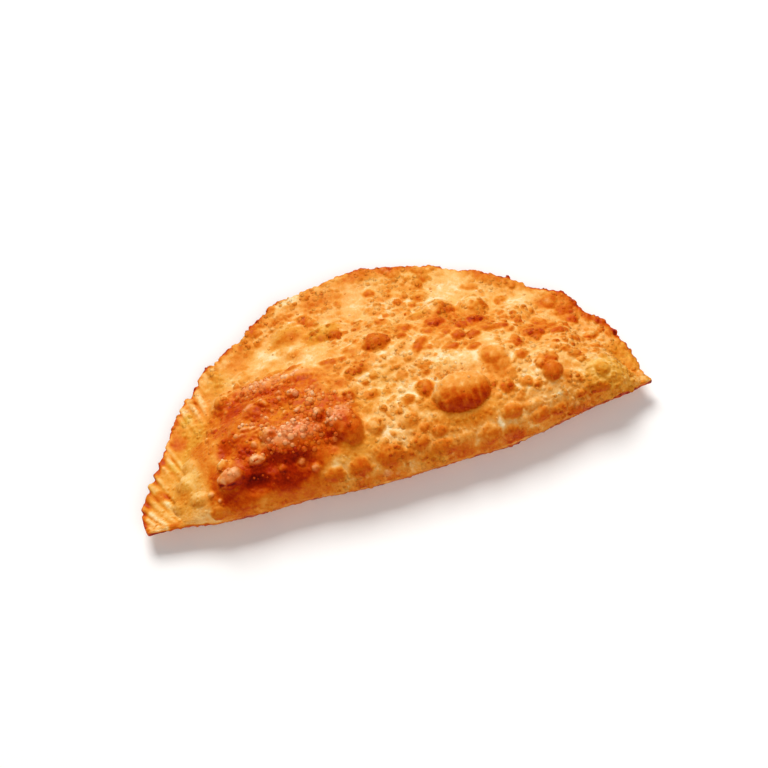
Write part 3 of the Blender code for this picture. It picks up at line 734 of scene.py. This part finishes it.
class Wire:
    """An output socket of a shader tree, on which Python's operators add Math nodes."""

    def __init__(self, tree, socket=None):
        self.tree = tree
        self.socket = socket

    def node(self, kind, settings, inputs, output=0):
        """A node of the kind: its settings first, then the values or links of its inputs."""
        made = self.tree.nodes.new(kind)
        for name, value in settings.items():
            if name == "stops":
                ramp = made.color_ramp
                while len(ramp.elements) < len(value):
                    ramp.elements.new(0.5)
                for element, (place, colour) in zip(ramp.elements, value):
                    element.position = place
                    element.color = colour
            else:
                setattr(made, name, value)
        feed(made, inputs)
        return Wire(self.tree, made.outputs[output])

    def output(self, name):
        """Another output of the same node."""
        return Wire(self.tree, self.socket.node.outputs[name])

    def math(self, operation, first, second):
        return self.node("ShaderNodeMath", {"operation": operation}, {0: first, 1: second})

    def __add__(self, other):
        return self.math("ADD", self, other)

    __radd__ = __add__

    def __mul__(self, other):
        return self.math("MULTIPLY", self, other)

    __rmul__ = __mul__

    def __sub__(self, other):
        return self.math("SUBTRACT", self, other)

    def __rsub__(self, other):
        return self.math("SUBTRACT", other, self)

    def __truediv__(self, other):
        return self.math("DIVIDE", self, other)

    def at_least(self, least):
        return self.math("MAXIMUM", self, least)

    def ramp(self, low, high):
        """0 at low, 1 at high, with a smooth step between."""
        settings = {"interpolation_type": "SMOOTHSTEP"}
        inputs = {"Value": self, "From Min": low, "From Max": high}
        return self.node("ShaderNodeMapRange", settings, inputs)

    def mix(self, first, second):
        """The first colour, moved towards the second by this value."""
        inputs = {"Factor": self, 6: first, 7: second}
        return self.node("ShaderNodeMix", {"data_type": "RGBA"}, inputs, 2)


def new_material(name):
    """A node material: its start Wire, its place on the piece, and its Principled shader."""
    material = bpy.data.materials.new(name)
    material.use_nodes = True
    start = Wire(material.node_tree)
    place = start.node("ShaderNodeTexCoord", {}, {}, "Object")
    return material, start, place, material.node_tree.nodes["Principled BSDF"]


STOPS = (0.00, 0.15, 0.30, 0.45, 0.60, 0.75, 0.88, 1.00)
ORANGE = (
    (250, 226, 182), (242, 184, 108), (232, 148, 56), (218, 115, 22),
    (200, 76, 4), (168, 36, 0), (118, 12, 0), (48, 7, 3),
)
GOLDEN = (
    (242, 214, 146), (235, 190, 98), (222, 160, 50), (206, 130, 20),
    (184, 94, 6), (152, 52, 1), (106, 20, 0), (48, 9, 3),
)
# The rosy colours go to pale bubble tops and crests: partly their own skin, partly a painted pinkish
# highlight.
ROSE = (
    (250, 224, 196), (246, 196, 148), (238, 164, 108), (224, 126, 66),
    (206, 86, 16), (172, 42, 2), (122, 14, 0), (48, 7, 3),
)
PIT_COLOUR = (175, 118, 52)


def fried_crust():
    """Fried dough: pale cream to golden, orange and dark brown by how much each place browned.

    The surface has fine grain and drop-like bubbles, which are paler or darker than the dough,
    and small pits where the dough is pale. Where it fried long it is smoother and oily.
    """
    material, start, place, shader = new_material("fried_crust")

    def attribute(name):
        return start.node("ShaderNodeAttribute", {"attribute_name": name}, {}, "Fac")

    def cloud(scale, detail):
        inputs = {"Vector": place, "Scale": scale, "Detail": detail, "Roughness": 0.6}
        return start.node("ShaderNodeTexNoise", {}, inputs, "Fac") - 0.5

    def cells(scale):
        """The distance to the nearest of many centres, and two numbers which that one drew."""
        inputs = {"Vector": place, "Scale": scale, "Randomness": 1.0}
        apart = start.node("ShaderNodeTexVoronoi", {}, inputs, "Distance")
        drawn = start.node("ShaderNodeSeparateColor", {}, {"Color": apart.output("Color")}, "Red")
        return apart, drawn, drawn.output("Green")

    def browned(colours):
        stops = [(stop, srgb(*colour)) for stop, colour in zip(STOPS, colours)]
        return start.node("ShaderNodeValToRGB", {"stops": stops}, {"Fac": tone})

    browning = attribute("browning")
    lively = attribute("lively")
    hue = attribute("hue")
    mottle = cloud(420.0, 3.0)
    grain = cloud(1300.0, 2.0)
    apart, luck, drawn_tone = cells(400.0)
    spread = apart / (0.30 + luck * 0.25)
    bubble = (1.0 - spread * spread).at_least(0.0) * lively
    tone = browning + mottle * 0.24 + grain * 0.16 + bubble * (drawn_tone - 0.3) * 0.30
    colour = hue.ramp(0.0, 1.0).mix(browned(ORANGE), browned(GOLDEN))
    colour = hue.ramp(0.0, -1.0).mix(colour, browned(ROSE))
    apart, chance, _ = cells(430.0)
    pale = 1.0 - browning.ramp(0.3, 0.5)
    pit = (1.0 - apart.ramp(0.12, 0.30)) * chance.ramp(0.50, 0.52) * pale * lively
    fried = browning.ramp(0.35, 0.7)
    pale_top = hue.ramp(-0.3, -0.9) * (1.0 - browning.ramp(DARK_FROM, DARK_TO))
    height = mottle * 0.5 + grain * 0.3 + bubble * 0.9 - pit * 0.3
    bump = {"Strength": 1.0, "Distance": 0.0007, "Height": height}
    feed(shader, {
        "Base Color": (pit * 0.10).mix(colour, srgb(*PIT_COLOUR)),
        "Roughness": 0.55 + mottle * 0.3 - fried * 0.22,
        "Coat Weight": 0.02 + fried * 0.03 + pale_top * 0.26,
        "Normal": start.node("ShaderNodeBump", {}, bump, "Normal"),
        "Coat Roughness": 0.27,
        "Specular IOR Level": 0.04,
        "Subsurface Weight": 0.06,
        "Subsurface Radius": (1.0, 0.4, 0.12),
        "Subsurface Scale": 0.0015,
    })
    return material


crust_material = fried_crust()


def in_scene(name, data):
    """A new object of the scene, with its place in its data."""
    made = bpy.data.objects.new(name, data)
    bpy.context.scene.collection.objects.link(made)
    return made


def dough_piece(name, points, faces, corner_uv, **values):
    """A smooth piece of fried dough from its points in metres, with what its material reads."""
    mesh = bpy.data.meshes.new(name)
    mesh.from_pydata(points, [], faces)
    mesh.uv_layers.new(name="OFBake").data.foreach_set("uv", corner_uv.ravel())
    for key, value in values.items():
        store = mesh.attributes.new(key, "FLOAT", "POINT")
        store.data.foreach_set("value", value.astype(np.float32))
    mesh.shade_smooth()
    mesh.materials.append(crust_material)
    return in_scene(name, mesh)


crust_faces, crust_uv = sheet_faces(crust.shape[0] - 2, crust.shape[1])
crust_piece = dough_piece(
    "crust", joined(laid_crust), crust_faces, crust_uv,
    lively=joined(np.clip(lively, 0.0, 1.0)),
    browning=joined(np.clip(browning, 0.0, 1.0)),
    hue=joined(np.clip(hue, -1.0, 1.0)),
)
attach(crust_piece, "root")
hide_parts("cheburek")

# ------------------------------------------------------------
# The finest blisters. Hundreds of beads, thinner than a match, stand on the crust where the dough
# boiled hardest: most of them on and around the dark patch, and some along the rim and the fold.
BEAD_AROUND = 8
BEAD_RINGS = 3
BEAD_HEIGHT = 0.85        # shares of the radius
BEAD_SUNK = 0.15
DARKEST_BEAD = 0.72
# How many, their smallest and largest radius, and their browning against the crust. Paler beads
# also turn rosy: partly their own skin, partly a painted pinkish highlight.
BEADS = (
    (-37, 12, 12, 8, 60, 0.45, 1.2, -0.06, 5), (-24, 18, 12, 12, 70, 0.45, 1.2, -0.06),
    (-42, 43, 17, 6, 80, 0.5, 1.4, -0.06, -12), (-40, 36, 14, 6, 40, 0.45, 1, -0.05, -15),
    (-45, 18, 26, 22, 90, 0.4, 1, -0.05), (10, 38, 90, 60, 380, 0.3, 0.75, -0.02),
    (-30, 12, 10, 9, 34, 0.6, 1.5, -0.12), (-34, 26, 14, 7, 26, 0.6, 1.4, -0.12),
    (-52, 16, 12, 8, 20, 0.5, 1.2, -0.12), (-24, 26, 7, 6, 16, 0.6, 1.4, -0.12),
)
crust = laid_crust / MM - shift


def draw_beads():
    """Centres, upward directions, radii, browning and hues of all the beads.

    A place is drawn among the crust's points inside the ellipse it belongs to, weighted by the
    area around each point.
    """
    draw = np.random.default_rng(61)
    normals = outwards(crust)
    across = np.linalg.norm(np.gradient(crust, axis=1), axis=-1)
    along = np.linalg.norm(np.gradient(crust, axis=0), axis=-1)
    area = across * along * upper_side * smooth_step(normals[..., 2], 0.0, 0.3)
    darkest = np.clip(browning, 0.0, DARKEST_BEAD)
    found = []
    for x, y, length, width, count, smallest, largest, paler, *turn in BEADS:
        chance = (area * (reach(crust, x, y, length, width, *turn) < 1.0)).ravel()
        chosen = draw.choice(chance.size, count, p=chance / chance.sum())
        radius = smallest + (largest - smallest) * draw.random(count) ** 2
        tone = darkest.ravel()[chosen] + paler + 0.08 * draw.uniform(-1.0, 1.0, count)
        # A paler bead turns rosy, partly as a painted pinkish highlight.
        own_hue = np.clip(hue.ravel()[chosen] + 4.0 * paler, -0.9, 1.0)
        centre = crust.reshape(-1, 3)[chosen]
        found.append((centre, normals.reshape(-1, 3)[chosen], radius, tone, own_hue))
    return [np.concatenate(values) for values in zip(*found)]


bead_centre, bead_up, bead_radius, bead_tone, bead_hue = draw_beads()
bead_side = np.cross(bead_up, (0.0, 0.6, 0.8))
bead_side /= np.linalg.norm(bead_side, axis=-1, keepdims=True)
bead_other = np.cross(bead_up, bead_side)

# A bead is rings of points at rising angles, from its foot to the single point of its top.
rise = 0.5 * np.pi * np.arange(BEAD_RINGS) / BEAD_RINGS
spin = 2.0 * np.pi * np.arange(BEAD_AROUND) / BEAD_AROUND
flat_x = np.append(np.outer(np.cos(rise), np.cos(spin)), 0.0)
flat_y = np.append(np.outer(np.cos(rise), np.sin(spin)), 0.0)
tall = np.append(np.repeat(BEAD_HEIGHT * np.sin(rise), BEAD_AROUND), BEAD_HEIGHT) - BEAD_SUNK
foot = np.append(np.repeat(np.cos(rise), BEAD_AROUND), 0.0)
bead_shape = sum(
    direction[:, None] * amount[:, None]
    for direction, amount in ((bead_side, flat_x), (bead_other, flat_y), (bead_up, tall))
)
bead_points = (bead_centre[:, None] + bead_shape * bead_radius[:, None, None]).reshape(-1, 3)
bead_index = np.arange(BEAD_RINGS * BEAD_AROUND).reshape(BEAD_RINGS, BEAD_AROUND)
bead_step = tall.size * np.arange(len(bead_centre))[:, None, None]
bead_quads = (ring_quads(bead_index) + bead_step).reshape(-1, 4)
bead_tops = (fan(bead_index.size, bead_index[-1]) + bead_step).reshape(-1, 3)

# Each bead has its own cell of the UV square.
beads_wide = math.ceil(math.sqrt(len(bead_centre)))
cell = np.stack(np.divmod(np.arange(len(bead_centre)), beads_wide), axis=-1) + 0.5
bead_uv = (cell[:, None] + 0.45 * np.stack((flat_x, flat_y), axis=-1)) / beads_wide
bead_corners = np.concatenate((bead_quads.ravel(), bead_tops.ravel()))
bead_piece = dough_piece(
    "fine_blisters", in_box(bead_points), bead_quads.tolist() + bead_tops.tolist(),
    bead_uv.reshape(-1, 2)[bead_corners],
    # Each bead is painted darker towards its foot: painted shade where it meets the crust.
    browning=np.clip(bead_tone[:, None] + 0.05 * foot ** 2, -1.0, 1.0).ravel(),
    hue=np.repeat(bead_hue, tall.size),
    lively=np.zeros(len(bead_points)),
)
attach(bead_piece, "root")
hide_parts("cheburek")

# ------------------------------------------------------------
# Floor, light and camera: a plain white table, a large soft light behind the fold's far side,
# and a camera that looks down on the folded side.
FLOOR_HALF = 3.0
FLOOR_GAP = 0.0002
floor_material, floor_start, floor_place, floor_shader = new_material("pale_floor")
floor_cloud = floor_start.node("ShaderNodeTexNoise", {}, {"Vector": floor_place, "Scale": 3.0}, "Fac")
feed(floor_shader, {
    "Base Color": floor_cloud.mix(srgb(246, 245, 244), srgb(250, 249, 248)),
    "Roughness": 0.9,
    "Specular IOR Level": 0.1,
})
floor_corners = np.array(((-1, -1, 0), (1, -1, 0), (1, 1, 0), (-1, 1, 0))) * FLOOR_HALF
floor_mesh = bpy.data.meshes.new("floor")
floor_mesh.from_pydata(floor_corners - (0.0, 0.0, FLOOR_GAP), [], [(0, 1, 2, 3)])
floor_mesh.materials.append(floor_material)
floor = in_scene("floor", floor_mesh)


def aim(thing, target, azimuth, elevation, distance, roll=0.0):
    """Puts a lamp or camera at a distance from the target, looking at it, rolled about its view.

    Azimuth 0 is in front of the fold.
    """
    turn = math.radians(azimuth)
    tilt = math.radians(elevation)
    away = Vector((math.cos(tilt) * math.sin(turn), -math.cos(tilt) * math.cos(turn), math.sin(tilt)))
    view = (-away).to_track_quat("-Z", "Y").to_matrix().to_4x4()
    place = Matrix.Translation(Vector(target) + distance * away)
    thing.matrix_world = place @ view @ Matrix.Rotation(math.radians(roll), 4, "Z")


MIDDLE = (0.0, 0.0, 0.01)
LIGHT_DISTANCE = 2.5
LIGHTS = (                # azimuth, elevation, side, power, colour, seen in reflections
    ("key_light", 178, 50, 1.2, 62, (1, 0.99, 0.975), True),
    ("fill_light", 10, 45, 1.6, 26, (1, 0.98, 0.95), False),
)
for name, azimuth, elevation, side, power, colour, in_reflections in LIGHTS:
    lamp = bpy.data.lights.new(name, "AREA")
    lamp.size = side
    lamp.energy = power
    lamp.color = colour
    holder = in_scene(name, lamp)
    holder.visible_glossy = in_reflections
    aim(holder, MIDDLE, azimuth, elevation, LIGHT_DISTANCE)

world = bpy.data.worlds.new("studio")
world.use_nodes = True
feed(world.node_tree.nodes["Background"], {"Color": (1.0, 1.0, 1.0, 1.0), "Strength": 0.19})
bpy.context.scene.world = world
bpy.context.scene.view_settings.view_transform = "Standard"

LOOK_AT = (1.55, 34.0, 0.0)
CAMERA_AZIMUTH = -4.6
CAMERA_ELEVATION = 58.0
CAMERA_DISTANCE = 0.75
CAMERA_ROLL = -13.0
camera_data = bpy.data.cameras.new("camera")
camera_data.lens = 89.6
camera_data.sensor_width = 36.0
camera = in_scene("camera", camera_data)
look_at = (np.array(LOOK_AT) + shift) * MM
aim(camera, look_at, CAMERA_AZIMUTH, CAMERA_ELEVATION, CAMERA_DISTANCE, CAMERA_ROLL)
bpy.context.scene.camera = camera
